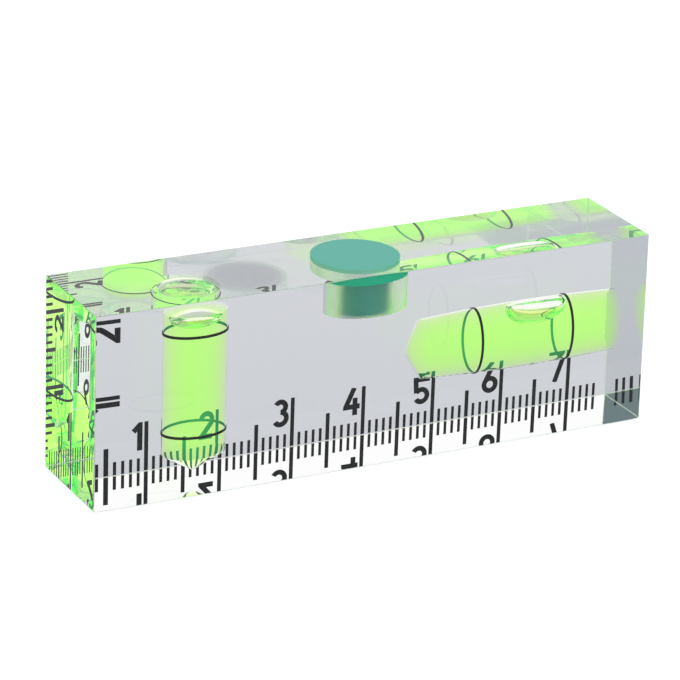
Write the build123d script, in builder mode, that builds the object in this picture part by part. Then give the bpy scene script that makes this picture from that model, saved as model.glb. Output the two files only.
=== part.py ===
"""Pocket spirit level: a clear acrylic block with two drilled vials, a magnet and printed scales.

Millimetres, +Z up. The origin is the middle of the base. +X runs along the length towards the
mouth of the level vial, and +Y runs through the depth towards the printed back face. The scales
are read from the front, through the block.
"""

import os
from math import cos, radians, sin, sqrt, tan

from build123d import *

os.makedirs("parts", exist_ok=True)

# Block

BLOCK_LENGTH = 76.7
BLOCK_DEPTH = 15.3
BLOCK_HEIGHT = 25.3
EDGE_ROUND = 0.1  # polished edge

# Vials, drilled into the block: the level vial from the right end, the plumb vial from the top.
# Behind its plug the level vial's wall is a barrel, so that the bubble settles where it is widest.

BORE_DIAMETER = 8.4
DRILL_POINT_ANGLE = 118.0
LEVEL_VIAL_HEIGHT = 12.6  # axis above the base
LEVEL_VIAL_DEPTH = 30.4  # right end to the shoulder above the drill's tip
BARREL_DIAMETER = 8.88  # at its widest
BARREL_MIDDLE = 15.2  # right end to its widest place
BARREL_CURVE = 239.0  # radius of its wall, lengthwise
PLUMB_VIAL_INSET = 15.1  # left end to the axis
PLUMB_VIAL_DEPTH = 21.5  # top face to the shoulder above the drill's tip

# Plugs that close the bores, cemented flush with the faces

LEVEL_PLUG_THICKNESS = 2.4
PLUMB_PLUG_THICKNESS = 2.85
CEMENT_GAP = 0.02  # around a plug, and around the magnet cover's flange
PLUG_EDGE_BREAK = 0.15

# Index rings, sprung into grooves in the bore walls

RING_SPACING = 13.1
RING_WIDTH = 0.35
RING_THICKNESS = 0.08
RING_GAP = 0.02  # modelling clearance around a ring
LEVEL_RINGS_MIDDLE = 16.3  # right end to the middle of the pair
PLUMB_RINGS_MIDDLE = 12.05  # top face to the middle of the pair

# Liquid and bubbles

LIQUID_GAP = 0.02  # modelling clearance between the liquid and what holds it
WALL_FILM = 0.12  # liquid between a bubble and the bore wall or plug above it
BUBBLE_GAP = 0.05  # modelling clearance around a bubble
LEVEL_BUBBLE_LENGTH = 8.7
LEVEL_BUBBLE_HEIGHT = 3.4
LEVEL_BUBBLE_ROUND = 3.6  # radius across the bubble's underside
LEVEL_BUBBLE_POSITION = 13.9  # right end to the middle of the bubble
PLUMB_BUBBLE_DIAMETER = 7.2
PLUMB_BUBBLE_HEIGHT = 2.2

# Magnet and its cover, in a pocket sunk from the top: the cover has a flange and a skirt

POCKET_DIAMETER = 11.2
POCKET_DEPTH = 6.0
POCKET_POSITION = 38.2  # left end to the axis
FLANGE_THICKNESS = 1.75
SKIRT_DIAMETER = 9.8
SKIRT_WALL = 0.5
MAGNET_GAP = 0.05
MAGNET_EDGE_BREAK = 0.2

# Printed scales on the back face

INK_THICKNESS = 0.05
DIVISION = 1.0
LONG_SCALE_ZERO = 0.95  # left end to zero
LONG_SCALE_END = 74  # last millimetre mark
SHORT_SCALE_ZERO = 0.4  # base to zero
SHORT_SCALE_END = 24
MARK_START = 0.1  # edge of the block to the foot of a mark
SHORT_MARK_WIDTH = 0.38
LONG_MARK_WIDTH = 0.52
MILLIMETRE_MARK = 1.75
HALF_MARK = 3.65
CENTIMETRE_MARK = 6.55
SIDE_MILLIMETRE_MARK = 2.8
SIDE_HALF_MARK = 4.0
SIDE_CENTIMETRE_MARK = 7.4
SIDE_FOOT_MARK = 1.1  # stubs where the two scales meet
SIDE_FOOT_COUNT = 3
NUMERAL_HEIGHT = 3.75
NUMERAL_WIDTH = 2.35
NUMERAL_STROKE = 0.68
NUMERAL_BASE = 2.9  # edge of the block to the foot of a numeral
SIDE_NUMERAL_BASE = 7.5
NUMERAL_GAP = 0.25  # numeral to its centimetre mark
NUMERAL_OPENING = 150.0  # degrees round a bowl from its right to where its stroke ends
NUMERAL_TURN = 35.0  # degrees that the top of a 2 curls past level
PER_HALF = 5
PER_CENTIMETRE = 10

# Places that several pieces share

bore_radius = BORE_DIAMETER / 2
point_slope = tan(radians(DRILL_POINT_ANGLE / 2))

# Each vial has its own plane: origin at the bore's mouth, z out of the mouth.
# On the level vial's plane, x points up.
level_vial = Plane(
    origin=(BLOCK_LENGTH / 2, 0, LEVEL_VIAL_HEIGHT), x_dir=(0, 0, 1), z_dir=(1, 0, 0)
)
plumb_vial = Plane(
    origin=(PLUMB_VIAL_INSET - BLOCK_LENGTH / 2, 0, BLOCK_HEIGHT), x_dir=(1, 0, 0), z_dir=(0, 0, 1)
)
pocket_mouth = Plane(
    origin=(POCKET_POSITION - BLOCK_LENGTH / 2, 0, BLOCK_HEIGHT), x_dir=(1, 0, 0), z_dir=(0, 0, 1)
)

# The back face, drawn as it is read from the front: x to the right, y up, from the corner of the base
back_face = Plane(
    origin=(-BLOCK_LENGTH / 2, BLOCK_DEPTH / 2, 0), x_dir=(1, 0, 0), z_dir=(0, -1, 0)
)


def barrel_radius(depth):
    """The level vial's radius at a depth below the block's right end."""
    return BARREL_DIAMETER / 2 - (depth - BARREL_MIDDLE) ** 2 / (2 * BARREL_CURVE)


def plumb_hole(mouth, clearance):
    """The plumb vial's shape on its plane, from mouth below its opening down to the drill's tip."""
    with BuildPart() as shape:
        with BuildSketch(Plane.XZ):
            with BuildLine():
                Polyline(
                    (0, -mouth - clearance),
                    (bore_radius - clearance, -mouth - clearance),
                    (bore_radius - clearance, -PLUMB_VIAL_DEPTH),
                    (0, -PLUMB_VIAL_DEPTH - bore_radius / point_slope + clearance),
                    close=True,
                )
            make_face()
        revolve(axis=Axis.Z)
    return shape.part


def barrel_hole(clearance):
    """The level vial's shape on its plane, from the plug down to the drill's tip."""
    top = (barrel_radius(LEVEL_PLUG_THICKNESS) - clearance, -LEVEL_PLUG_THICKNESS - clearance)
    widest = (barrel_radius(BARREL_MIDDLE) - clearance, -BARREL_MIDDLE)
    shoulder = (barrel_radius(LEVEL_VIAL_DEPTH) - clearance, -LEVEL_VIAL_DEPTH)
    tip = (0, -LEVEL_VIAL_DEPTH - barrel_radius(LEVEL_VIAL_DEPTH) / point_slope + clearance)
    with BuildPart() as shape:
        with BuildSketch(Plane.XZ):
            with BuildLine():
                ThreePointArc(top, widest, shoulder)
                Polyline(shoulder, tip, (0, -LEVEL_PLUG_THICKNESS - clearance), top)
            make_face()
        revolve(axis=Axis.Z)
    return shape.part


def ring_shape(inner_radius, outer_radius, width):
    """A flat ring about the bore's axis, centred on its own plane."""
    with BuildPart() as shape:
        with BuildSketch():
            Circle(outer_radius)
            Circle(inner_radius, mode=Mode.SUBTRACT)
        extrude(amount=width / 2, both=True)
    return shape.part


def ring_depths(middle):
    """The depths of a vial's two rings, the one nearer the mouth first."""
    return (middle - RING_SPACING / 2, middle + RING_SPACING / 2)


def level_bubble_shape(clearance):
    """A long bubble pressed up against the bore wall, on the level vial's plane."""
    section = LEVEL_BUBBLE_ROUND
    film_radius = barrel_radius(LEVEL_BUBBLE_POSITION - LEVEL_BUBBLE_LENGTH / 2) - WALL_FILM
    centre = film_radius - LEVEL_BUBBLE_HEIGHT + section
    reach = LEVEL_BUBBLE_LENGTH / 2 / sqrt(1 - ((centre - film_radius) / section) ** 2)
    with BuildPart() as shape:
        with BuildSketch(Plane.YZ.offset(centre)):
            with BuildLine():
                EllipticalCenterArc(
                    (0, -LEVEL_BUBBLE_POSITION),
                    section + clearance,
                    reach + clearance,
                    start_angle=-90,
                    arc_size=180,
                )
                Line(
                    (0, -LEVEL_BUBBLE_POSITION + reach + clearance),
                    (0, -LEVEL_BUBBLE_POSITION - reach - clearance),
                )
            make_face()
        revolve(axis=Axis((centre, 0, 0), (0, 0, 1)))
        with Locations((0, 0, -LEVEL_BUBBLE_POSITION)):
            Cylinder(film_radius + clearance, 2 * (reach + BORE_DIAMETER), mode=Mode.INTERSECT)
    return shape.part


def plumb_bubble_shape(clearance):
    """A round bubble spread flat under the plug, on the plumb vial's plane."""
    radius = PLUMB_BUBBLE_DIAMETER / 2 + clearance
    height = PLUMB_BUBBLE_HEIGHT + 2 * clearance
    top = -PLUMB_PLUG_THICKNESS - WALL_FILM + clearance
    with BuildPart() as shape:
        with BuildSketch(Plane.XZ):
            with BuildLine():
                EllipticalCenterArc((0, top), radius, height, start_angle=-90, arc_size=90)
                Polyline((radius, top), (0, top), (0, top - height))
            make_face()
        revolve(axis=Axis.Z)
    return shape.part


# Acrylic block

def ring_groove(wall_radius):
    """The room that a ring takes up in the wall around it."""
    outer_radius = wall_radius + RING_THICKNESS + RING_GAP
    return ring_shape(wall_radius - RING_THICKNESS, outer_radius, RING_WIDTH + 2 * RING_GAP)


with BuildPart() as acrylic_block:
    Box(
        BLOCK_LENGTH, BLOCK_DEPTH, BLOCK_HEIGHT, align=(Align.CENTER, Align.CENTER, Align.MIN)
    )
    fillet(acrylic_block.edges(), radius=EDGE_ROUND)
    with BuildSketch(level_vial):
        Circle(bore_radius)
    extrude(amount=-LEVEL_PLUG_THICKNESS, mode=Mode.SUBTRACT)
    with Locations(level_vial.location):
        add(barrel_hole(0), mode=Mode.SUBTRACT)
    with Locations(plumb_vial.location):
        add(plumb_hole(0, 0), mode=Mode.SUBTRACT)
    for depth in ring_depths(LEVEL_RINGS_MIDDLE):
        with Locations(level_vial.location * Location((0, 0, -depth))):
            add(ring_groove(barrel_radius(depth)), mode=Mode.SUBTRACT)
    for depth in ring_depths(PLUMB_RINGS_MIDDLE):
        with Locations(plumb_vial.location * Location((0, 0, -depth))):
            add(ring_groove(bore_radius), mode=Mode.SUBTRACT)
    with BuildSketch(pocket_mouth):
        Circle(POCKET_DIAMETER / 2)
    extrude(amount=-POCKET_DEPTH, mode=Mode.SUBTRACT)
acrylic_block.part.label = "acrylic_block"


# Vial plugs

def plug_on(vial, thickness):
    """A round plug, flush with the face that the vial's bore opens in."""
    with BuildPart() as plug:
        with BuildSketch(vial):
            Circle(bore_radius - CEMENT_GAP)
        extrude(amount=-thickness)
        outer_edge = plug.edges().filter_by(GeomType.CIRCLE).sort_by(Axis(vial.origin, vial.z_dir))[-1]
        chamfer(outer_edge, length=PLUG_EDGE_BREAK)
    return plug.part


with BuildPart() as level_vial_plug:
    add(plug_on(level_vial, LEVEL_PLUG_THICKNESS))
level_vial_plug.part.label = "level_vial_plug"

with BuildPart() as plumb_vial_plug:
    add(plug_on(plumb_vial, PLUMB_PLUG_THICKNESS))
plumb_vial_plug.part.label = "plumb_vial_plug"


# Index rings, flush with the wall around them

def index_ring(wall_radius):
    """A ring for a place where the vial has this radius."""
    return ring_shape(wall_radius, wall_radius + RING_THICKNESS, RING_WIDTH)


right_depth, left_depth = ring_depths(LEVEL_RINGS_MIDDLE)
upper_depth, lower_depth = ring_depths(PLUMB_RINGS_MIDDLE)

with BuildPart() as level_ring_right:
    with Locations(level_vial.location * Location((0, 0, -right_depth))):
        add(index_ring(barrel_radius(right_depth)))
level_ring_right.part.label = "level_ring_right"

with BuildPart() as level_ring_left:
    with Locations(level_vial.location * Location((0, 0, -left_depth))):
        add(index_ring(barrel_radius(left_depth)))
level_ring_left.part.label = "level_ring_left"

with BuildPart() as plumb_ring_upper:
    with Locations(plumb_vial.location * Location((0, 0, -upper_depth))):
        add(index_ring(bore_radius))
plumb_ring_upper.part.label = "plumb_ring_upper"

with BuildPart() as plumb_ring_lower:
    with Locations(plumb_vial.location * Location((0, 0, -lower_depth))):
        add(index_ring(bore_radius))
plumb_ring_lower.part.label = "plumb_ring_lower"


# Bubbles, and the liquid around them

with BuildPart() as level_bubble:
    with Locations(level_vial.location):
        add(level_bubble_shape(0))
level_bubble.part.label = "level_bubble"

with BuildPart() as plumb_bubble:
    with Locations(plumb_vial.location):
        add(plumb_bubble_shape(0))
plumb_bubble.part.label = "plumb_bubble"

with BuildPart() as level_liquid:
    with Locations(level_vial.location):
        add(barrel_hole(LIQUID_GAP))
        add(level_bubble_shape(BUBBLE_GAP), mode=Mode.SUBTRACT)
level_liquid.part.label = "level_liquid"

with BuildPart() as plumb_liquid:
    with Locations(plumb_vial.location):
        add(plumb_hole(PLUMB_PLUG_THICKNESS, LIQUID_GAP))
        add(plumb_bubble_shape(BUBBLE_GAP), mode=Mode.SUBTRACT)
plumb_liquid.part.label = "plumb_liquid"


# Magnet and cover: a flange flush with the top, and a skirt below it that the magnet sits in

skirt_radius = SKIRT_DIAMETER / 2
pocket_floor = pocket_mouth.offset(-POCKET_DEPTH)
skirt_height = POCKET_DEPTH - FLANGE_THICKNESS

with BuildPart() as magnet_cover:
    with BuildSketch(pocket_mouth):
        Circle(POCKET_DIAMETER / 2 - CEMENT_GAP)
    extrude(amount=-FLANGE_THICKNESS)
    with BuildSketch(pocket_floor):
        Circle(skirt_radius)
        Circle(skirt_radius - SKIRT_WALL, mode=Mode.SUBTRACT)
    extrude(amount=skirt_height)
magnet_cover.part.label = "magnet_cover"

with BuildPart() as magnet:
    with BuildSketch(pocket_floor):
        Circle(skirt_radius - SKIRT_WALL - MAGNET_GAP)
    extrude(amount=skirt_height - MAGNET_GAP)
    chamfer(magnet.edges().filter_by(GeomType.CIRCLE), length=MAGNET_EDGE_BREAK)
magnet.part.label = "magnet"


# Scale marks and numerals

def is_centimetre(value):
    """Whether a mark stands for a whole centimetre."""
    return value % PER_CENTIMETRE == 0


def is_half(value):
    """Whether a mark stands for a half centimetre."""
    return value % PER_HALF == 0 and not is_centimetre(value)


def is_millimetre(value):
    """Whether a mark stands for a plain millimetre."""
    return value % PER_HALF != 0


def long_scale_marks(values, length, width):
    """Upright marks along the base, as one group of ink solids."""
    with BuildPart() as marks:
        with BuildSketch(back_face):
            for value in values:
                foot = LONG_SCALE_ZERO + value * DIVISION
                with Locations((foot, MARK_START + length / 2)):
                    Rectangle(width, length)
        extrude(amount=-INK_THICKNESS)
    return marks.part


def short_scale_marks(values, length, width):
    """Level marks up the left end, as one group of ink solids."""
    with BuildPart() as marks:
        with BuildSketch(back_face):
            for value in values:
                height = SHORT_SCALE_ZERO + value * DIVISION
                with Locations((MARK_START + length / 2, height)):
                    Rectangle(length, width)
        extrude(amount=-INK_THICKNESS)
    return marks.part


def numeral(value):
    """A numeral drawn with one pen width, its right foot at the sketch's origin."""
    half = NUMERAL_STROKE / 2
    right = -half
    left = half - NUMERAL_WIDTH
    middle = (left + right) / 2
    top = NUMERAL_HEIGHT - half
    foot = half
    bowl = (right - left) / 2
    bowl_centre = (middle, foot + bowl)
    waist = foot + 2 * bowl
    upper_bowl = (top - waist) / 2
    opening = radians(NUMERAL_OPENING)
    bowl_start = (middle + bowl * cos(opening), foot + bowl + bowl * sin(opening))
    with BuildSketch() as glyph:
        if value == 1:
            with BuildLine():
                Polyline((middle, top - bowl), (right, top), (right, foot - half))
            trace(line_width=NUMERAL_STROKE)
        if value == 2:
            with BuildLine():
                curl = CenterArc((middle, top - bowl), bowl, 180, -180 - NUMERAL_TURN)
                Polyline(curl @ 1, (left, foot), (right, foot))
            trace(line_width=NUMERAL_STROKE)
        if value == 3:
            with BuildLine():
                CenterArc((middle, top - upper_bowl), upper_bowl, NUMERAL_OPENING, -90 - NUMERAL_OPENING)
            trace(line_width=NUMERAL_STROKE)
            with BuildLine():
                CenterArc(bowl_centre, bowl, 90, -90 - NUMERAL_OPENING)
            trace(line_width=NUMERAL_STROKE)
        if value == 4:
            with BuildLine():
                Polyline((middle + half, top + half), (left, foot + bowl), (right + half, foot + bowl))
            trace(line_width=NUMERAL_STROKE)
            with BuildLine():
                Line((right - half, foot - half), (right - half, waist + half))
            trace(line_width=NUMERAL_STROKE)
        if value == 5:
            with BuildLine():
                Polyline((right + half, top), (left, top), bowl_start)
            trace(line_width=NUMERAL_STROKE)
            with BuildLine():
                CenterArc(bowl_centre, bowl, NUMERAL_OPENING, -2 * NUMERAL_OPENING)
            trace(line_width=NUMERAL_STROKE)
        if value == 6:
            with Locations(bowl_centre):
                Circle(bowl + half)
                Circle(bowl - half, mode=Mode.SUBTRACT)
            with BuildLine():
                Line((middle + half, top + half), bowl_start)
            trace(line_width=NUMERAL_STROKE)
        if value == 7:
            with BuildLine():
                Polyline((left - half, top), (right, top), (middle - half, foot - half))
            trace(line_width=NUMERAL_STROKE)
        Rectangle(
            NUMERAL_WIDTH, NUMERAL_HEIGHT, align=(Align.MAX, Align.MIN), mode=Mode.INTERSECT
        )
    return glyph.sketch


long_values = range(1, LONG_SCALE_END + 1)
short_values = range(1, SHORT_SCALE_END + 1)

with BuildPart() as long_scale_millimetres:
    add(long_scale_marks(filter(is_millimetre, long_values), MILLIMETRE_MARK, SHORT_MARK_WIDTH))
long_scale_millimetres.part.label = "long_scale_millimetres"

with BuildPart() as long_scale_halves:
    add(long_scale_marks(filter(is_half, long_values), HALF_MARK, LONG_MARK_WIDTH))
long_scale_halves.part.label = "long_scale_halves"

with BuildPart() as long_scale_centimetres:
    add(long_scale_marks(filter(is_centimetre, long_values), CENTIMETRE_MARK, LONG_MARK_WIDTH))
long_scale_centimetres.part.label = "long_scale_centimetres"

with BuildPart() as long_scale_numerals:
    with BuildSketch(back_face):
        for value in filter(is_centimetre, long_values):
            mark = LONG_SCALE_ZERO + value * DIVISION
            with Locations((mark - LONG_MARK_WIDTH / 2 - NUMERAL_GAP, NUMERAL_BASE)):
                add(numeral(value // PER_CENTIMETRE))
    extrude(amount=-INK_THICKNESS)
long_scale_numerals.part.label = "long_scale_numerals"

with BuildPart() as short_scale_millimetres:
    upper_values = [value for value in short_values if value > SIDE_FOOT_COUNT]
    add(short_scale_marks(filter(is_millimetre, upper_values), SIDE_MILLIMETRE_MARK, SHORT_MARK_WIDTH))
    add(short_scale_marks(range(1, SIDE_FOOT_COUNT + 1), SIDE_FOOT_MARK, SHORT_MARK_WIDTH))
short_scale_millimetres.part.label = "short_scale_millimetres"

with BuildPart() as short_scale_halves:
    add(short_scale_marks(filter(is_half, short_values), SIDE_HALF_MARK, LONG_MARK_WIDTH))
short_scale_halves.part.label = "short_scale_halves"

with BuildPart() as short_scale_centimetres:
    add(short_scale_marks(filter(is_centimetre, short_values), SIDE_CENTIMETRE_MARK, LONG_MARK_WIDTH))
short_scale_centimetres.part.label = "short_scale_centimetres"

with BuildPart() as short_scale_numerals:
    with BuildSketch(back_face):
        for value in filter(is_centimetre, short_values):
            mark = SHORT_SCALE_ZERO + value * DIVISION
            place = Location((SIDE_NUMERAL_BASE, mark - LONG_MARK_WIDTH / 2 - NUMERAL_GAP), 90)
            with Locations(place):
                add(numeral(value // PER_CENTIMETRE))
    extrude(amount=-INK_THICKNESS)
short_scale_numerals.part.label = "short_scale_numerals"


# Files

for piece in (
    acrylic_block,
    level_vial_plug,
    plumb_vial_plug,
    level_ring_left,
    level_ring_right,
    plumb_ring_upper,
    plumb_ring_lower,
    level_liquid,
    plumb_liquid,
    level_bubble,
    plumb_bubble,
    magnet_cover,
    magnet,
    long_scale_millimetres,
    long_scale_halves,
    long_scale_centimetres,
    long_scale_numerals,
    short_scale_millimetres,
    short_scale_halves,
    short_scale_centimetres,
    short_scale_numerals,
):
    export_step(piece.part, f"parts/{piece.part.label}.step")
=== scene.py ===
"""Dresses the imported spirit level: polished acrylic, vial liquid, bubbles, rings, cover and print.

Metres, in the part's own frame: +X along the block towards the mouth of the level vial, +Y towards
the printed back face, +Z up. Each clear body is one closed skin, and its index is given relative to
what lies around it, so that light bends at the walls of the vials as it does in the real block.
"""

import logging
import math
from dataclasses import dataclass
from enum import Enum, IntEnum

import bpy
import numpy as np
from mathutils import Matrix, Vector


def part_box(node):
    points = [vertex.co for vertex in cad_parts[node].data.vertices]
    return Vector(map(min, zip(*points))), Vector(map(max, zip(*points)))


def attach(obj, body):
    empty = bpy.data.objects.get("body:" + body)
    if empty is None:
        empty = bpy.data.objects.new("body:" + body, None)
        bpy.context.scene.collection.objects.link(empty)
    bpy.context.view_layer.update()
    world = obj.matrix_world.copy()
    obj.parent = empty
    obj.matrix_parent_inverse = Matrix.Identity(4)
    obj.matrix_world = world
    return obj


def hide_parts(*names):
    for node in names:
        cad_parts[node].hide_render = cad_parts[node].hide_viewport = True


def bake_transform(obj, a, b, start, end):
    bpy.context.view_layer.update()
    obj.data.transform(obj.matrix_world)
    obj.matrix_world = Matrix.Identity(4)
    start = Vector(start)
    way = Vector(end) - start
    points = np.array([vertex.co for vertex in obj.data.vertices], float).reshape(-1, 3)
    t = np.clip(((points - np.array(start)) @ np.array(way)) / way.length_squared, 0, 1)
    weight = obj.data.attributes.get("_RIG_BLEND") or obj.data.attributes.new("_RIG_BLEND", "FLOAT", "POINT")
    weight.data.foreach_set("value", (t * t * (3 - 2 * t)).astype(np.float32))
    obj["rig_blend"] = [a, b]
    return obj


log = logging.getLogger("spirit_level")

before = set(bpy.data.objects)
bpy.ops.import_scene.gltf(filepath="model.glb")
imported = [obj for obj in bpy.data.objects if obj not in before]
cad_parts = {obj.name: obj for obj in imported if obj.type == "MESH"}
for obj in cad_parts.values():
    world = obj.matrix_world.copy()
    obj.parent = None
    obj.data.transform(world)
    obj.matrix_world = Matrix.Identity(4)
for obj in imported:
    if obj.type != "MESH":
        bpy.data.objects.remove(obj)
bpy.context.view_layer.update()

MM = 0.001
WELD = 1e-7  # points nearer than this are one point
SEGMENTS = 144  # around a bore or a pocket

ACRYLIC_INDEX = 1.49
LIQUID_INDEX = 1.46


class Slot(Enum):
    """The record's material slot names; nothing here uses them."""

    ACRYLIC = "clear_acrylic"
    LIQUID = "green_liquid"
    AIR = "air"
    RING = "black_ring"
    COVER = "green_cover"


class BlockFace(IntEnum):
    """The faces of the block, in the order of its materials."""

    POLISHED = 0
    DRILLED = 1
    EDGE = 2


class VialSkin(IntEnum):
    """The skins of a vial's liquid, in the order of its materials. The hollow's two follow the bubble. The
    glow skins carry a painted glow.
    """

    LIQUID = 0
    HOLLOW = 1
    GLOW = 2
    HOLLOW_GLOW = 3


class CoverFace(IntEnum):
    """The faces of the magnet's cover, in the order of its materials."""

    TOP = 0
    # the flange's side wears a teal painted lighter, as if lit through the block
    SIDE = 1
    INSIDE = 2


# Surfaces


@dataclass
class Patch:
    """A stretch of surface: a grid of points, the way out at each, and the finish it wears."""

    points: np.ndarray
    outward: np.ndarray
    finish: int | np.ndarray = 0  # one for all, or one for each point, which the cell it starts takes

    def turned_over(self) -> "Patch":
        """The same patch seen from its other side."""
        return Patch(self.points, -self.outward, self.finish)


@dataclass(frozen=True)
class Bore:
    """The line a vial is drilled along: its mouth, the way out of it, and the way up across it."""

    mouth: tuple[float, float, float]
    out: tuple[float, float, float]
    up: tuple[float, float, float]

    def place(self, depth: np.ndarray, radius: np.ndarray, turn: np.ndarray) -> np.ndarray:
        """Points at a depth below the mouth and a radius from the axis, turned from the way up.

        Args:
            depth: distance below the mouth, in metres.
            radius: distance from the axis, in metres.
            turn: angle about the axis from the way up, in radians.

        Returns:
            Array of points, mouth minus depth along the axis plus the radius in its direction.
        """
        out, up = np.array(self.out), np.array(self.up)
        side = np.cross(out, up)
        across = np.cos(turn)[..., None] * up + np.sin(turn)[..., None] * side
        return np.array(self.mouth) - depth[..., None] * out + radius[..., None] * across


def lathe(bore: Bore, outline: list[np.ndarray], finish: int = 0) -> list[Patch]:
    """Turns an outline about a bore's axis.

    Each stretch of the outline sweeps a smooth wall, with a sharp edge where it meets the next. Its
    way out is its own direction turned a quarter left, carried about the axis.

    Args:
        bore: the axis to turn about.
        outline: stretches in order, each an array of (depth, radius) rows in metres.
        finish: number of the material that the surface wears.

    Returns:
        One patch for each stretch of the outline.
    """
    turn = np.linspace(0, 2 * math.pi, SEGMENTS + 1)[None, :]
    patches = []
    for stretch in outline:
        depth, radius = (np.repeat(stretch[:, k : k + 1], SEGMENTS + 1, axis=1) for k in range(2))
        along = np.gradient(stretch, axis=0)
        along /= np.linalg.norm(along, axis=1, keepdims=True)
        points = bore.place(depth, radius, turn)
        tip = bore.place(depth - along[:, 1:], radius + along[:, :1], turn)
        patches.append(Patch(points, tip - points, finish))
    return patches


def cornered(*points: tuple[float, float]) -> list[np.ndarray]:
    """An outline of straight stretches between points."""
    return [np.array(pair) for pair in zip(points, points[1:])]


@dataclass
class RoundedBox:
    """A box with rounded edges and corners, each side a grid, and room for a round hole in its top.

    A point on the sharp box is pulled to the nearest point of the smaller box inside, then pushed
    out again by the radius along the same line. Grid lines over a rounded edge stand at even angles,
    so the tangent of the angle gives their place on the sharp box.
    """

    low: np.ndarray
    high: np.ndarray
    radius: float
    end_lines: np.ndarray  # distances of extra grid lines from both ends
    steps: int = 4  # grid lines over half of a rounded edge

    def lines(self) -> list[np.ndarray]:
        """Grid lines along each axis of the sharp box.

        Returns:
            Three sorted arrays of places, one for each axis, in metres.
        """
        inner_low, inner_high = self.low + self.radius, self.high - self.radius
        bend = self.radius * np.tan(np.linspace(0, math.pi / 4, self.steps + 1))
        found = [np.concatenate([inner_low[k] - bend[::-1], inner_high[k] + bend]) for k in range(3)]
        extra = np.concatenate([self.low[0] + self.end_lines, self.high[0] - self.end_lines])
        found[0] = np.sort(np.concatenate([found[0], extra]))
        return found

    def patches(self) -> list[Patch]:
        """The six sides, without the cell of the top that holds the hole.

        Returns:
            One patch for each side, and four for the top, around the cell.
        """
        inner_low, inner_high = self.low + self.radius, self.high - self.radius
        lines = self.lines()
        cell = int(np.argmax(np.diff(lines[0])))
        sides = []
        for axis in range(3):
            first, second = [k for k in range(3) if k != axis]
            for level, is_top in ((self.low[axis], False), (self.high[axis], axis == 2)):
                sharp = np.empty((len(lines[first]), len(lines[second]), 3))
                sharp[..., first] = lines[first][:, None]
                sharp[..., second] = lines[second][None, :]
                sharp[..., axis] = level
                nearest = np.clip(sharp, inner_low, inner_high)
                outward = sharp - nearest
                outward /= np.linalg.norm(outward, axis=-1, keepdims=True)
                points = nearest + self.radius * outward
                cuts = [slice(None)]
                if is_top:
                    middle = slice(cell, cell + 2)
                    near, far = slice(0, self.steps + 1), slice(self.steps + 1, None)
                    cuts = [slice(0, cell + 1), slice(cell + 1, None), (middle, near), (middle, far)]
                finish = self.edges(points, inner_low, inner_high)
                sides += [Patch(points[cut].copy(), outward[cut].copy(), finish[cut]) for cut in cuts]
        return sides

    def edges(self, points: np.ndarray, low: np.ndarray, high: np.ndarray) -> np.ndarray:
        """Which finish each cell of a side wears.

        A cell lies on a rounded edge where a corner of it is past the smaller box on two axes.

        Args:
            points: the side's grid of points.
            low: lowest corner of the smaller box inside.
            high: highest corner of the smaller box inside.

        Returns:
            Array with a finish for each point, which the cell it starts takes.
        """
        rounded = np.zeros(points.shape[:2], dtype=bool)
        for step in (points, np.roll(points, -1, axis=0), np.roll(points, -1, axis=1)):
            past = (step < low - WELD) | (step > high + WELD)
            rounded |= past.sum(axis=-1) > 1
        return np.where(rounded, BlockFace.EDGE, BlockFace.POLISHED)

    def around_hole(self, bore: Bore, radius: float) -> Patch:
        """The top's flat around a round hole: each point of the rim joins the nearest corner.

        Args:
            bore: the hole's axis, with its mouth in the top.
            radius: radius of the hole, in metres.

        Returns:
            A patch of two rows, the rim and the corners that it joins.
        """
        lines = self.lines()[0]
        cell = int(np.argmax(np.diff(lines)))
        turn = np.linspace(0, 2 * math.pi, SEGMENTS + 1)
        rim = bore.place(np.zeros_like(turn), np.full_like(turn, radius), turn)
        away = rim - np.array(bore.mouth)
        near, far = self.low[1] + self.radius, self.high[1] - self.radius
        corner = np.stack(
            [
                np.where(away[:, 0] > 0, lines[cell + 1], lines[cell]),
                np.where(away[:, 1] > 0, far, near),
                rim[:, 2],
            ],
            axis=-1,
        )
        points = np.stack([rim, corner])
        return Patch(points, np.broadcast_to((0.0, 0.0, 1.0), points.shape).copy())


def way_out(points: np.ndarray) -> np.ndarray:
    """Normals of a closed grid: the cross product of the steps down and across to its neighbours.

    Args:
        points: grid of points that closes round its columns, with a pole at its first and last rows.

    Returns:
        Array of unit normals, which all point out or all point in.
    """
    down = np.gradient(points, axis=0)
    wrapped = np.concatenate([points[:, -2:-1], points, points[:, 1:2]], axis=1)
    across = (wrapped[:, 2:] - wrapped[:, :-2]) / 2
    normal = np.cross(down, across)
    for pole, beside in ((0, 1), (-1, -2)):
        normal[pole] = normal[beside].mean(axis=0)
    return normal / np.linalg.norm(normal, axis=-1, keepdims=True)


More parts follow.
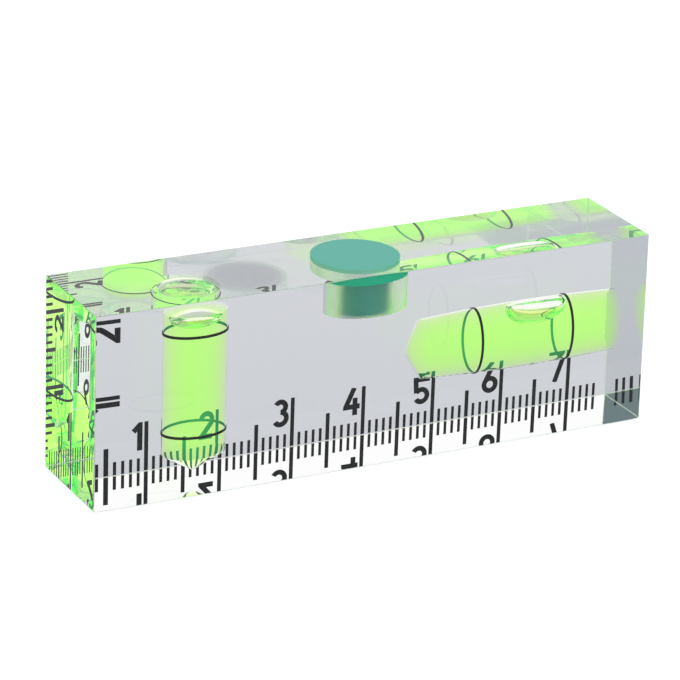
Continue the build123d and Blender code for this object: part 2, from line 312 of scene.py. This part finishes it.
def build_piece(name: str, patches: list[Patch], materials: list[bpy.types.Material]) -> bpy.types.Object:
    """Joins patches into one closed mesh that keeps each patch's own way out as its shading.

    Args:
        name: name of the piece.
        patches: the stretches of surface.
        materials: the finishes, in the order that the patches number them.

    Returns:
        The new object, linked to the scene, with its place in its mesh.
    """
    corners, normals, finishes = [], [], []
    for patch in patches:
        rows, columns = patch.points.shape[:2]
        index = np.arange(rows * columns).reshape(rows, columns)
        quads = np.stack([index[:-1, :-1], index[1:, :-1], index[1:, 1:], index[:-1, 1:]], -1)
        quads = quads.reshape(-1, 4)
        points = patch.points.reshape(-1, 3)[quads]
        outward = patch.outward.reshape(-1, 3)[quads]
        facing = np.cross(points[:, 2] - points[:, 0], points[:, 3] - points[:, 1])
        backward = (facing * outward.mean(axis=1)).sum(axis=-1) < 0
        points[backward] = points[backward][:, ::-1]
        outward[backward] = outward[backward][:, ::-1]
        corners.append(points)
        normals.append(outward)
        finish = np.broadcast_to(patch.finish, (rows, columns))[:-1, :-1]
        finishes.append(finish.reshape(-1))
    points = np.concatenate(corners)
    outward = np.concatenate(normals)
    finish = np.concatenate(finishes)
    cells = np.round(points.reshape(-1, 3) / WELD).astype(np.int64)
    _, first, member = np.unique(cells, axis=0, return_index=True, return_inverse=True)
    vertices = points.reshape(-1, 3)[first]
    faces = member.reshape(-1, 4)
    kept = faces != np.roll(faces, -1, axis=1)
    whole = kept.sum(axis=1) > 2
    faces, kept, outward, finish = faces[whole], kept[whole], outward[whole], finish[whole]
    totals = kept.sum(axis=1)
    mesh = bpy.data.meshes.new(name)
    mesh.vertices.add(len(vertices))
    mesh.vertices.foreach_set("co", vertices.astype(np.float32).ravel())
    mesh.loops.add(int(totals.sum()))
    mesh.loops.foreach_set("vertex_index", faces[kept].astype(np.int32))
    mesh.polygons.add(len(faces))
    mesh.polygons.foreach_set("loop_start", (np.cumsum(totals) - totals).astype(np.int32))
    mesh.polygons.foreach_set("material_index", finish.astype(np.int32))
    mesh.update(calc_edges=True)
    mesh.shade_smooth()
    mesh.normals_split_custom_set(outward[kept].tolist())
    for material in materials:
        mesh.materials.append(material)
    piece = bpy.data.objects.new(name, mesh)
    bpy.context.scene.collection.objects.link(piece)
    log.info("%s: %d faces", name, len(mesh.polygons))
    return piece


# Finishes


@dataclass(frozen=True)
class ClearFinish:
    """A clear body, with its index relative to what lies around it."""

    name: str
    index: float
    roughness: float = 0.0
    relief: float = 0.0  # height of the waves that polishing leaves
    waves: float = 160.0  # waves for each metre
    rubs: float = 420.0  # rubbed patches for each metre
    rubbed: float = 0.03  # roughness that a rubbed patch adds
    taken: tuple[float, float, float] | None = None  # light taken by depth, as a rate for each metre
    # given is a painted glow: green light given off by depth, standing in for the light that the lit liquid
    # gives back
    given: tuple[float, float, float] | None = None  # light given off by depth, for each metre

    def material(self) -> bpy.types.Material:
        """The material, with the light that its dye takes up by depth, and a painted glow given off by
        depth.

        Returns:
            The new material.
        """
        material = bpy.data.materials.new(self.name)
        material.use_nodes = True
        nodes, links = material.node_tree.nodes, material.node_tree.links
        shader = nodes["Principled BSDF"]
        shader.inputs["Base Color"].default_value = (1.0, 1.0, 1.0, 1.0)
        shader.inputs["Roughness"].default_value = self.roughness
        shader.inputs["IOR"].default_value = self.index
        shader.inputs["Transmission Weight"].default_value = 1.0
        if self.relief:
            self.polish(material)
        depth = nodes["Material Output"].inputs["Volume"]
        if self.taken:
            most = max(self.taken)
            absorption = nodes.new("ShaderNodeVolumeAbsorption")
            absorption.inputs["Color"].default_value = (*(1 - rate / most for rate in self.taken), 1.0)
            absorption.inputs["Density"].default_value = most
            links.new(absorption.outputs["Volume"], depth)
        # painted glow: an emission through the depth, in place of the light that the lit liquid gives back
        if self.given:
            most = max(self.given)
            glow = nodes.new("ShaderNodeEmission")
            glow.inputs["Color"].default_value = (*(rate / most for rate in self.given), 1.0)
            glow.inputs["Strength"].default_value = most
            links.new(glow.outputs["Emission"], depth)
        return material

    def polish(self, material: bpy.types.Material) -> None:
        """Adds the slow waves that polishing leaves, and rubbed patches a shade less smooth.

        Args:
            material: the material to change.
        """
        nodes, links = material.node_tree.nodes, material.node_tree.links
        shader = nodes["Principled BSDF"]
        place = nodes.new("ShaderNodeTexCoord")
        waves = nodes.new("ShaderNodeTexNoise")
        waves.inputs["Scale"].default_value = self.waves
        waves.inputs["Detail"].default_value = 1.0
        links.new(place.outputs["Object"], waves.inputs["Vector"])
        bump = nodes.new("ShaderNodeBump")
        bump.inputs["Strength"].default_value = 1.0
        bump.inputs["Distance"].default_value = self.relief
        links.new(waves.outputs["Fac"], bump.inputs["Height"])
        links.new(bump.outputs["Normal"], shader.inputs["Normal"])
        rubs = nodes.new("ShaderNodeTexNoise")
        rubs.inputs["Scale"].default_value = self.rubs
        rubs.inputs["Detail"].default_value = 4.0
        links.new(place.outputs["Object"], rubs.inputs["Vector"])
        spread = nodes.new("ShaderNodeMapRange")
        spread.inputs["From Min"].default_value = 0.5
        spread.inputs["From Max"].default_value = 0.8
        spread.inputs["To Min"].default_value = self.roughness
        spread.inputs["To Max"].default_value = self.roughness + self.rubbed
        links.new(rubs.outputs["Fac"], spread.inputs["Value"])
        links.new(spread.outputs["Result"], shader.inputs["Roughness"])


@dataclass(frozen=True)
class SolidFinish:
    """An opaque finish with a fine uneven surface."""

    name: str
    colour: tuple[float, float, float]
    roughness: float
    grain: float = 2000.0  # bumps for each metre
    bump: float = 0.02 * MM  # height of a bump
    relief: float = 0.1  # share of that height that shows
    uneven: float = 0.15  # how far the roughness strays, as a share of it
    metallic: float = 0.0
    shine: float = 0.5

    def material(self) -> bpy.types.Material:
        """The material: colour, with roughness and relief from one fine noise.

        Returns:
            The new material.
        """
        material = bpy.data.materials.new(self.name)
        material.use_nodes = True
        nodes, links = material.node_tree.nodes, material.node_tree.links
        shader = nodes["Principled BSDF"]
        shader.inputs["Base Color"].default_value = (*self.colour, 1.0)
        shader.inputs["Metallic"].default_value = self.metallic
        shader.inputs["Specular IOR Level"].default_value = self.shine
        place = nodes.new("ShaderNodeTexCoord")
        noise = nodes.new("ShaderNodeTexNoise")
        noise.inputs["Scale"].default_value = self.grain
        noise.inputs["Detail"].default_value = 3.0
        links.new(place.outputs["Object"], noise.inputs["Vector"])
        spread = nodes.new("ShaderNodeMapRange")
        spread.inputs["To Min"].default_value = self.roughness * (1 - self.uneven)
        spread.inputs["To Max"].default_value = self.roughness * (1 + self.uneven)
        links.new(noise.outputs["Fac"], spread.inputs["Value"])
        links.new(spread.outputs["Result"], shader.inputs["Roughness"])
        bump = nodes.new("ShaderNodeBump")
        bump.inputs["Strength"].default_value = self.relief
        bump.inputs["Distance"].default_value = self.bump
        links.new(noise.outputs["Fac"], bump.inputs["Height"])
        links.new(bump.outputs["Normal"], shader.inputs["Normal"])
        return material


# Pieces


@dataclass
class Block:
    """The acrylic block: rounded outside, with the magnet's pocket open at the top.

    Polishing has let the front fall away a little towards both ends. Its fall at a distance from
    an end is fall * exp(-distance / reach). The right end is sawn a little out of square, so its
    top leans in. The flange is wetted by its cement, so the pocket's wall is taken into it.
    """

    edge: float = 0.1 * MM
    pocket_radius: float = 5.6 * MM
    pocket_depth: float = 6.0 * MM
    mouth_break: float = 0.05 * MM
    print_bite: float = 0.02 * MM  # the ink's wetted face, taken into the back of the block
    flange: float = 1.72 * MM
    flange_bite: float = 0.07 * MM
    left_fall: float = 0.276 * MM
    right_fall: float = 0.2 * MM
    left_reach: float = 2.3 * MM
    right_reach: float = 1.6 * MM
    lean: float = 0.35 * MM
    end_shares: tuple[float, ...] = (0.1, 0.25, 0.45, 0.7, 1.0, 1.35, 1.75, 2.2, 2.8, 3.6, 4.8, 7.0)

    def build(self) -> bpy.types.Object:
        """The block's skin, as one closed shell. Its grid lines near an end are shares of left_reach.

        Returns:
            The skin.
        """
        low, high = (np.array(corner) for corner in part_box("acrylic_block"))
        high[1] += self.print_bite
        cover_low, cover_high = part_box("magnet_cover")
        middle = (cover_low + cover_high) / 2
        pocket = Bore(mouth=(middle.x, middle.y, high[2]), out=(0, 0, 1), up=(1, 0, 0))
        rim = self.pocket_radius + self.print_bite
        box = RoundedBox(low, high, self.edge, self.left_reach * np.array(self.end_shares))
        patches = box.patches()
        patches.append(box.around_hole(pocket, rim))
        for patch in patches:
            self.let_fall(patch, box)
            self.lean_in(patch, box)
        wetted = self.pocket_radius - self.flange_bite
        outline = cornered(
            (0.0, rim),
            (self.mouth_break, wetted),
            (self.flange, wetted),
            (self.flange, self.pocket_radius),
            (self.pocket_depth, self.pocket_radius),
            (self.pocket_depth, 0.0),
        )
        patches += [patch.turned_over() for patch in lathe(pocket, outline, BlockFace.DRILLED)]
        materials = [
            ClearFinish("clear_acrylic_polished", ACRYLIC_INDEX, relief=0.002 * MM).material(),
            ClearFinish("clear_acrylic_as_drilled", ACRYLIC_INDEX, roughness=0.4).material(),
            ClearFinish("clear_acrylic_edge", ACRYLIC_INDEX, roughness=0.45).material(),
        ]
        piece = build_piece("polished_block", patches, materials)
        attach(piece, "block")
        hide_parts("acrylic_block")
        return piece

    def let_fall(self, patch: Patch, box: RoundedBox) -> None:
        """Moves the front's points back by its fall, and turns their way out to match.

        Args:
            patch: the stretch of the block's skin to change.
            box: the box that the fall is measured from.
        """
        front = patch.points[..., 1] < box.low[1] + box.radius + WELD
        left = self.left_fall * np.exp((box.low[0] - patch.points[..., 0]) / self.left_reach)
        right = self.right_fall * np.exp((patch.points[..., 0] - box.high[0]) / self.right_reach)
        patch.points[..., 1] += np.where(front, left + right, 0.0)
        facing = np.clip(-patch.outward[..., 1], 0.0, 1.0)
        slope = right / self.right_reach - left / self.left_reach
        patch.outward[..., 0] += np.where(front, facing * slope, 0.0)
        patch.outward /= np.linalg.norm(patch.outward, axis=-1, keepdims=True)

    def lean_in(self, patch: Patch, box: RoundedBox) -> None:
        """Leans the right end in by its share of the height, less and less away from the end.

        Args:
            patch: the stretch of the block's skin to change.
            box: the box that the lean is measured from.
        """
        tall = box.high[2] - box.low[2]
        height = (patch.points[..., 2] - box.low[2]) / tall
        share = np.clip(1 - (box.high[0] - patch.points[..., 0]) / box.end_lines.max(), 0.0, 1.0)
        patch.points[..., 0] -= self.lean * height * share
        patch.outward[..., 2] += np.clip(patch.outward[..., 0], 0.0, 1.0) * self.lean / tall * share
        patch.outward /= np.linalg.norm(patch.outward, axis=-1, keepdims=True)


@dataclass(frozen=True)
class VialFinishes:
    """What a vial is made of: the liquid's skin, the hollow for its bubble, and a painted glow inside it."""

    liquid: bpy.types.Material
    hollow: bpy.types.Material
    glow: bpy.types.Material


@dataclass
class Vial:
    """A drilled vial: liquid in the bore, a bubble against its upper wall, and a plug at its mouth."""

    name: str
    bore: Bore
    shoulder: float  # mouth to the shoulder above the drill's tip
    plug: float
    bore_radius: float = 4.2 * MM
    point_angle: float = 118.0
    plug_sink: float = 0.3 * MM
    cement: float = 0.02 * MM
    swell: float = 0.01 * MM  # from the bubble to the hollow around it
    glow_inset: float = 0.01 * MM
    steps: int = 32  # down the liquid's wall

    def wall(self, depth: np.ndarray) -> np.ndarray:
        """The liquid's radius at a depth."""
        return np.full_like(depth, self.bore_radius)

    def outline(self, inset: float) -> list[np.ndarray]:
        """The liquid's outline: its flat end, its wall and the cone that the drill's tip leaves.

        Args:
            inset: how far inside the liquid's surface the outline lies, in metres.

        Returns:
            Stretches of (depth, radius) rows, from the middle of the flat end to the drill's tip.
        """
        depth = np.linspace(self.plug + inset, self.shoulder, self.steps + 1)
        wall = np.stack([depth, self.wall(depth) - inset], axis=-1)
        tip = self.shoulder + self.wall(depth)[-1] / math.tan(math.radians(self.point_angle / 2))
        flat = cornered((depth[0], 0.0), tuple(wall[0]))
        cone = cornered(tuple(wall[-1]), (tip - inset, 0.0))
        return flat + [wall] + cone

    def bubble(self, swell: float) -> Patch:
        """The bubble's surface, swollen by a clearance in metres."""
        raise NotImplementedError

    def hollow(self, swell: float, finish: int) -> Patch:
        """The liquid's inner skin around the bubble, swollen by a clearance in metres."""
        patch = self.bubble(swell).turned_over()
        patch.finish = finish
        return patch

    def build(self, finishes: VialFinishes) -> None:
        """Builds the liquid with a hollow for the bubble, the bubble and the plug.

        Args:
            finishes: the materials of the liquid's skins.
        """
        skin = lathe(self.bore, self.outline(0.0), VialSkin.LIQUID)
        skin.append(self.hollow(self.swell, VialSkin.HOLLOW))
        glow = lathe(self.bore, self.outline(self.glow_inset), VialSkin.GLOW)
        glow.append(self.hollow(self.swell + self.glow_inset, VialSkin.HOLLOW_GLOW))
        materials = [finishes.liquid, finishes.hollow, finishes.glow, finishes.glow]
        piece = build_piece(f"{self.name}_vial_liquid", skin + glow, materials)
        self.follow_bubble(piece)
        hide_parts(f"{self.name}_liquid")
        air = ClearFinish(f"{self.name}_air", 1.0).material()
        bubble = build_piece(f"{self.name}_air_bubble", [self.bubble(0.0)], [air])
        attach(bubble, f"{self.name}_bubble")
        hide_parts(f"{self.name}_bubble")
        clear = ClearFinish(f"{self.name}_plug_cemented", 1.0).material()
        radius = self.bore_radius - self.cement
        outline = cornered(
            (self.plug_sink, 0.0),
            (self.plug_sink, radius),
            (self.plug - self.cement, radius),
            (self.plug - self.cement, 0.0),
        )
        plug = build_piece(f"{self.name}_cemented_plug", lathe(self.bore, outline), [clear])
        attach(plug, "block")
        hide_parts(f"{self.name}_vial_plug")

    def follow_bubble(self, piece: bpy.types.Object) -> None:
        """Lets the hollow's skins move with the bubble, while the rest stays with the block.

        Args:
            piece: the liquid.
        """
        start = Vector(self.bore.mouth)
        end = start - Vector(self.bore.out) * self.shoulder
        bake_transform(piece, "block", f"{self.name}_bubble", start, end)
        mesh = piece.data
        share = np.zeros(len(mesh.vertices), dtype=np.float32)
        for face in mesh.polygons:
            if face.material_index in (VialSkin.HOLLOW, VialSkin.HOLLOW_GLOW):
                share[list(face.vertices)] = 1.0
        mesh.attributes["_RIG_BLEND"].data.foreach_set("value", share)


@dataclass
class LevelVial(Vial):
    """The vial along the block: its wall is a barrel, with a long bubble under the top of it."""

    barrel_radius: float = 4.44 * MM
    barrel_middle: float = 15.2 * MM
    barrel_curve: float = 239.0 * MM
    film: float = 0.05 * MM
    middle: float = 13.9 * MM  # mouth to the middle of the bubble
    half_length: float = 4.35 * MM
    half_turn: float = 50.0
    height: float = 3.35 * MM
    rim_depth: float = 0.9 * MM

    def wall(self, depth: np.ndarray) -> np.ndarray:
        """The barrel's radius: its widest, less the square of the way from there over twice its curve."""
        return self.barrel_radius - (depth - self.barrel_middle) ** 2 / (2 * self.barrel_curve)

    def bubble(self, swell: float) -> Patch:
        """A pillow bent to the barrel's wall: see pillow for its section.

        Along the bore it reaches half_length times the share times the cosine of the turn, and
        around it half_turn times the share times the sine. Its top is a film below the wall there.

        Args:
            swell: clearance that it is swollen by, in metres.

        Returns:
            The closed surface, a pole at the middle of its top and of its foot.
        """
        share, drop = pillow(self.height + 2 * swell, self.rim_depth)
        turn = np.linspace(0, 2 * math.pi, SEGMENTS + 1)[None, :]
        depth = self.middle - (self.half_length + swell) * share * np.cos(turn)
        radius = self.wall(depth) - self.film + swell - drop
        around = (math.radians(self.half_turn) + swell / self.bore_radius) * share * np.sin(turn)
        points = self.bore.place(depth, radius, around)
        outward = way_out(points)
        return Patch(points, outward * outward_sign(points, outward))


@dataclass
class PlumbVial(Vial):
    """The upright vial, with a round bubble spread under its plug."""

    film: float = 0.05 * MM
    radius: float = 3.55 * MM
    height: float = 2.2 * MM
    rim_depth: float = 0.8 * MM
    roundness: float = 2.0

    def bubble(self, swell: float) -> Patch:
        """A round pillow, a film below the plug: see pillow for its section.

        Args:
            swell: clearance that it is swollen by, in metres.

        Returns:
            The closed surface, a pole at the middle of its top and of its foot.
        """
        share, drop = pillow(self.height + 2 * swell, self.rim_depth, self.roundness)
        turn = np.linspace(0, 2 * math.pi, SEGMENTS + 1)[None, :]
        depth = self.plug + self.film - swell + drop + 0 * turn
        points = self.bore.place(depth, (self.radius + swell) * share + 0 * turn, turn)
        outward = way_out(points)
        return Patch(points, outward * outward_sign(points, outward))


@dataclass(frozen=True)
class Cover:
    """The magnet's cover: a satin flange, wetted by its cement where it meets the block, its side painted
    lighter as if lit through the block, and a skirt.
    """

    flange_radius: float = 5.58 * MM
    flange: float = 1.75 * MM
    skirt_radius: float = 4.9 * MM
    skirt_wall: float = 0.5 * MM
    edge: float = 0.03 * MM

    def build(self) -> bpy.types.Object:
        """The cover, turned about the pocket's axis.

        Returns:
            The cover.
        """
        low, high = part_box("magnet_cover")
        middle, tall = (low + high) / 2, high.z - low.z
        axis = Bore(mouth=(middle.x, middle.y, high.z), out=(0, 0, 1), up=(1, 0, 0))
        inside = self.skirt_radius - self.skirt_wall
        top = cornered((0.0, 0.0), (0.0, self.flange_radius - self.edge))
        side = cornered(
            (0.0, self.flange_radius - self.edge),
            (self.edge, self.flange_radius),
            (self.flange, self.flange_radius),
        )
        under = cornered(
            (self.flange, self.flange_radius),
            (self.flange, self.skirt_radius),
            (tall, self.skirt_radius),
            (tall, inside),
            (self.flange, inside),
            (self.flange, 0.0),
        )
        patches = lathe(axis, top, CoverFace.TOP) + lathe(axis, side, CoverFace.SIDE)
        patches += lathe(axis, under, CoverFace.INSIDE)
        materials = [
            SolidFinish("satin_teal_plastic", (0.012, 0.4, 0.3), 0.3).material(),
            # painted light: the side's teal is painted lighter and greener than the top's, standing in for
            # light that reaches it through the block; it has no shine where the cement wets it
            SolidFinish("wetted_teal_plastic_painted_lit", (0.015, 0.72, 0.4), 0.5, shine=0.0).material(),
            SolidFinish("inner_teal_plastic", (0.012, 0.42, 0.28), 0.4).material(),
        ]
        piece = build_piece("teal_cover", patches, materials)
        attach(piece, "block")
        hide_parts("magnet_cover")
        return piece


@dataclass(frozen=True)
class Ring:
    """A black ring let into a vial's wall."""

    node: str
    vial: Vial
    axis: int  # of the frame, that the vial lies along
    gap: float = 0.008 * MM  # liquid to ring
    thickness: float = 0.08 * MM

    def build(self, black: bpy.types.Material) -> bpy.types.Object:
        """The ring, round its vial at the place of its CAD node.

        Args:
            black: the rings' material.

        Returns:
            The ring.
        """
        low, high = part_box(self.node)
        face = self.vial.bore.mouth[self.axis]
        near, far = face - high[self.axis], face - low[self.axis]
        wall = float(self.vial.wall(np.array([near, far])).mean())
        inner, outer = wall + self.gap, wall + self.thickness
        outline = cornered((near, inner), (near, outer), (far, outer), (far, inner), (near, inner))
        piece = build_piece(f"{self.node}_black", lathe(self.vial.bore, outline), [black])
        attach(piece, "block")
        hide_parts(self.node)
        return piece


def pillow(
    height: float, rim_depth: float, power: float = 4.0, steps: int = 56
) -> tuple[np.ndarray, np.ndarray]:
    """The section of a bubble pressed against a wall, from the middle of its top to that of its foot.

    The top is a quarter superellipse, flat with a round edge, down to the rim.
    The foot is a quarter ellipse from the rim to the lowest point.

    Args:
        height: top to foot, in metres.
        rim_depth: top to the widest line, in metres.
        power: power of the superellipse. A higher power has a wider flat.
        steps: steps over each quarter.

    Returns:
        Columns of the reach, as a share of the bubble's half-width, and of the drop from its top.
    """
    quarter = np.linspace(0, math.pi / 2, steps + 1)
    share_top = np.sin(quarter) ** (2 / power)
    drop_top = rim_depth * (1 - np.clip(np.cos(quarter), 0.0, 1.0) ** (2 / power))
    back = quarter[-2::-1]
    share_foot = np.sin(back)
    drop_foot = height - (height - rim_depth) * (1 - np.cos(back))
    drop_top[-1] = rim_depth
    share = np.concatenate([share_top, share_foot])
    drop = np.concatenate([drop_top, drop_foot])
    share[0] = share[-1] = 0.0
    return share[:, None], drop[:, None]


def outward_sign(points: np.ndarray, outward: np.ndarray) -> float:
    """One where a closed patch's normals point out of it, and minus one where they point in."""
    away = points - points.reshape(-1, 3).mean(axis=0)
    return 1.0 if (away * outward).sum() > 0 else -1.0


# Studio


@dataclass
class Studio:
    """Floor, light and the photograph's camera."""

    azimuth: float = -27.9
    elevation: float = 21.6
    roll: float = 2.1
    lens: float = 192.4
    distance: float = 453.6 * MM
    target: tuple[float, float, float] = (-1.83 * MM, 0.0, 14.14 * MM)
    air_gap: float = 0.05 * MM
    sensor: float = 36.0
    floor_half: float = 3.0
    floor_tint: tuple[float, float, float] = (0.94, 0.98, 1.08)
    floor_roughness: float = 0.3
    floor_shade: tuple[float, float] = (0.9, 0.13)  # as seen, and in the light it returns
    floor_glow: tuple[float, float] = (0.4, 0.395)
    floor_index: tuple[float, float] = (1.0, 1.65)
    dark_side: tuple[float, float, float] = (-0.445, 0.817, 0.367)
    dark: tuple[float, float, float] = (0.1, 0.16, 0.165)
    dark_core: float = 12.0  # degrees from the dark side to where it starts to lighten
    dark_edge: float = 30.0  # degrees from the dark side to where it ends
    clear_bounces: int = 40
    glossy_bounces: int = 24
    diffuse_bounces: int = 3

    def camera(self) -> None:
        """A camera that looks at the target from the photograph's side, rolled about its view."""
        azimuth, elevation = math.radians(self.azimuth), math.radians(self.elevation)
        back = Vector(
            (
                math.sin(azimuth) * math.cos(elevation),
                -math.cos(azimuth) * math.cos(elevation),
                math.sin(elevation),
            )
        )
        data = bpy.data.cameras.new("camera")
        data.lens = self.lens
        data.sensor_width = self.sensor
        camera = bpy.data.objects.new("camera", data)
        bpy.context.scene.collection.objects.link(camera)
        level = back.to_track_quat("Z", "Y").to_matrix()
        rolled = level @ Matrix.Rotation(math.radians(self.roll), 3, "Z")
        camera.matrix_world = Matrix.Translation(Vector(self.target) + back * self.distance) @ (
            rolled.to_4x4()
        )
        bpy.context.scene.camera = camera

    def floor(self) -> None:
        """A pale floor just under the block, whiter to the eye than in the light it returns."""
        mesh = bpy.data.meshes.new("floor")
        half, level = self.floor_half, -self.air_gap
        mesh.from_pydata(
            [(-half, -half, level), (half, -half, level), (half, half, level), (-half, half, level)],
            [],
            [(0, 1, 2, 3)],
        )
        material = bpy.data.materials.new("pale_floor")
        material.use_nodes = True
        nodes, links = material.node_tree.nodes, material.node_tree.links
        shader = nodes["Principled BSDF"]
        shader.inputs["Roughness"].default_value = self.floor_roughness
        shader.inputs["Emission Color"].default_value = (*self.floor_tint, 1.0)
        path = nodes.new("ShaderNodeLightPath")
        for socket, (seen, returned) in (
            ("Base Color", self.floor_shade),
            ("Emission Strength", self.floor_glow),
            ("IOR", self.floor_index),
        ):
            mix = nodes.new("ShaderNodeMix")
            mix.inputs["A"].default_value = returned
            mix.inputs["B"].default_value = seen
            links.new(path.outputs["Is Camera Ray"], mix.inputs["Factor"])
            links.new(mix.outputs["Result"], shader.inputs[socket])
        mesh.materials.append(material)
        floor = bpy.data.objects.new("floor", mesh)
        bpy.context.scene.collection.objects.link(floor)

    def light(self) -> None:
        """An even white surround, with a dark patch on one side that only the block's faces mirror."""
        scene = bpy.context.scene
        world = bpy.data.worlds.new("studio")
        scene.world = world
        world.use_nodes = True
        nodes, links = world.node_tree.nodes, world.node_tree.links
        background = nodes["Background"]
        background.inputs["Strength"].default_value = 1.0
        place = nodes.new("ShaderNodeTexCoord")
        toward = nodes.new("ShaderNodeVectorMath")
        toward.operation = "DOT_PRODUCT"
        toward.inputs[1].default_value = self.dark_side
        links.new(place.outputs["Generated"], toward.inputs[0])
        spread = nodes.new("ShaderNodeMapRange")
        spread.interpolation_type = "SMOOTHSTEP"
        spread.inputs["From Min"].default_value = math.cos(math.radians(self.dark_edge))
        spread.inputs["From Max"].default_value = math.cos(math.radians(self.dark_core))
        spread.inputs["To Min"].default_value = 1.0
        spread.inputs["To Max"].default_value = 0.0
        links.new(toward.outputs["Value"], spread.inputs["Value"])
        path = nodes.new("ShaderNodeLightPath")
        bright = nodes.new("ShaderNodeMath")
        bright.operation = "MAXIMUM"
        links.new(spread.outputs["Result"], bright.inputs[0])
        links.new(path.outputs["Is Camera Ray"], bright.inputs[1])
        mix = nodes.new("ShaderNodeMixRGB")
        mix.inputs["Color1"].default_value = (*self.dark, 1.0)
        mix.inputs["Color2"].default_value = (1.0, 1.0, 1.0, 1.0)
        links.new(bright.outputs["Value"], mix.inputs["Fac"])
        links.new(mix.outputs["Color"], background.inputs["Color"])
        scene.view_settings.view_transform = "Standard"
        scene.cycles.max_bounces = self.clear_bounces
        scene.cycles.transmission_bounces = self.clear_bounces
        scene.cycles.glossy_bounces = self.glossy_bounces
        scene.cycles.diffuse_bounces = self.diffuse_bounces


def dress(nodes: list[str], finish: SolidFinish) -> None:
    """Gives CAD nodes a finish in place of their plain one.

    Args:
        nodes: names of the nodes.
        finish: what they wear.
    """
    material = finish.material()
    for name in nodes:
        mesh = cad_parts[name].data
        mesh.materials.clear()
        mesh.materials.append(material)
        log.info("%s: %s", name, finish.name)


def main() -> None:
    """Builds the studio and the pieces in order."""
    logging.basicConfig(level=logging.INFO)
    studio = Studio()
    studio.camera()
    studio.floor()
    studio.light()
    Block().build()
    in_acrylic = LIQUID_INDEX / ACRYLIC_INDEX
    finishes = VialFinishes(
        liquid=ClearFinish("green_vial_liquid", in_acrylic, taken=(33.6, 7.6, 190.0)).material(),
        hollow=ClearFinish("bubble_wall", LIQUID_INDEX).material(),
        # painted glow: the liquid's inner skin gives off green light by depth, standing in for light it
        # takes from the studio
        glow=ClearFinish("green_vial_painted_glow", 1.0, given=(4.1, 45.5, 20.0)).material(),
    )
    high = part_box("acrylic_block")[1]
    level_low, level_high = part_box("level_vial_plug")
    plumb_low, plumb_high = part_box("plumb_vial_plug")
    level_middle = (level_low + level_high) / 2
    plumb_middle = (plumb_low + plumb_high) / 2
    level_axis = Bore((high.x, level_middle.y, level_middle.z), out=(1, 0, 0), up=(0, 0, 1))
    plumb_axis = Bore((plumb_middle.x, plumb_middle.y, high.z), out=(0, 0, 1), up=(1, 0, 0))
    level = LevelVial("level", level_axis, shoulder=30.4 * MM, plug=level_high.x - level_low.x)
    plumb = PlumbVial("plumb", plumb_axis, shoulder=21.5 * MM, plug=plumb_high.z - plumb_low.z)
    level.build(finishes)
    plumb.build(finishes)
    black = SolidFinish("black_spring_ring", (0.006, 0.008, 0.006), 0.5, shine=0.05).material()
    for node, vial, axis in (
        ("level_ring_left", level, 0),
        ("level_ring_right", level, 0),
        ("plumb_ring_upper", plumb, 2),
        ("plumb_ring_lower", plumb, 2),
    ):
        Ring(node, vial, axis).build(black)
    Cover().build()
    dress(["magnet"], SolidFinish("nickel_plate", (0.72, 0.71, 0.68), 0.25, metallic=1.0))
    dress(
        [
            f"{scale}_scale_{kind}"
            for scale in ("long", "short")
            for kind in ("millimetres", "halves", "centimetres", "numerals")
        ],
        SolidFinish("black_screen_print", (0.008, 0.009, 0.011), 0.55, shine=0.05),
    )


if __name__ == "__main__":
    main()
